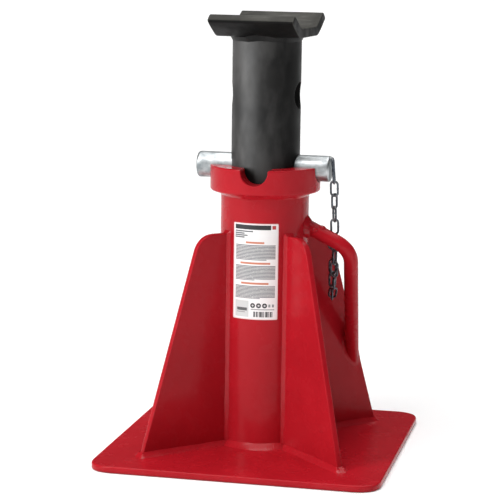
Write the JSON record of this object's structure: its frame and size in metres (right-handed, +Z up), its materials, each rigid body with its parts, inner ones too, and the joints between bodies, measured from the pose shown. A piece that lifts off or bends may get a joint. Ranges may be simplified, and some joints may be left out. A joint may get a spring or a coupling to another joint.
{
  "type": "axle jack stand",
  "caption": "Pin-type axle jack stand: square base, round sleeve with four gussets, sliding ram with a trough-shaped saddle, support pin on a chain, side carrying handle.",
  "frame": {"origin": "middle of the base plate's underside", "axes": "+Z up along the sleeve and ram; +X along the support pin towards its chain and the carrying handle; +Y towards the back, away from the label"},
  "size_m": [0.275, 0.275, 0.4217],
  "materials": {
    "red_enamel": "thick glossy red enamel over welded steel",
    "black_ram": "satin black-oxide tube with a soft metallic sheen",
    "black_saddle": "matt charcoal, slightly scuffed plate",
    "zinc_pin": "zinc plated round bar, satin, lightly mottled",
    "chain_steel": "dark zinc plated wire",
    "printed_label": "printed white vinyl sticker"
  },
  "bodies": {
    "base": {"base_plate": "red_enamel", "sleeve": "red_enamel", "collar": "red_enamel", "gusset_rear_right": "red_enamel", "gusset_rear_left": "red_enamel", "gusset_front_left": "red_enamel", "gusset_front_right": "red_enamel", "carry_handle": "red_enamel", "label": "printed_label", "chain_eye": "chain_steel"},
    "ram": {"ram_tube": "black_ram", "saddle": "black_saddle"},
    "pin": {"support_pin": "zinc_pin", "pin_loop": "chain_steel"},
    "chain_upper": {"chain_link_01": "chain_steel", "chain_link_02": "chain_steel", "chain_link_03": "chain_steel", "chain_link_04": "chain_steel"},
    "chain_tail": {"chain_link_05": "chain_steel", "chain_link_06": "chain_steel", "chain_link_07": "chain_steel", "chain_link_08": "chain_steel", "chain_link_09": "chain_steel", "chain_link_10": "chain_steel", "chain_link_11": "chain_steel", "chain_link_12": "chain_steel", "chain_link_13": "chain_steel"}
  },
  "joints": [
    {"name": "ram_lift", "type": "slide", "parent": "base", "child": "ram", "axis": [0, 0, 1], "range_m": [0, 0.07]},
    {"name": "pin_pull", "type": "slide", "parent": "ram", "child": "pin", "axis": [1, 0, 0], "range_m": [0, 0.125]},
    {"name": "chain_upper_swing", "type": "hinge", "parent": "pin", "child": "chain_upper", "pos_m": [0.0672, 0.0019, 0.2614], "axis": [0, 1, 0], "range_deg": [-60, 0]},
    {"name": "chain_tail_swing", "type": "hinge", "parent": "base", "child": "chain_tail", "pos_m": [0.064, 0.0195, 0.1965], "axis": [1, 0, 0], "range_deg": [0, 10]}
  ]
}
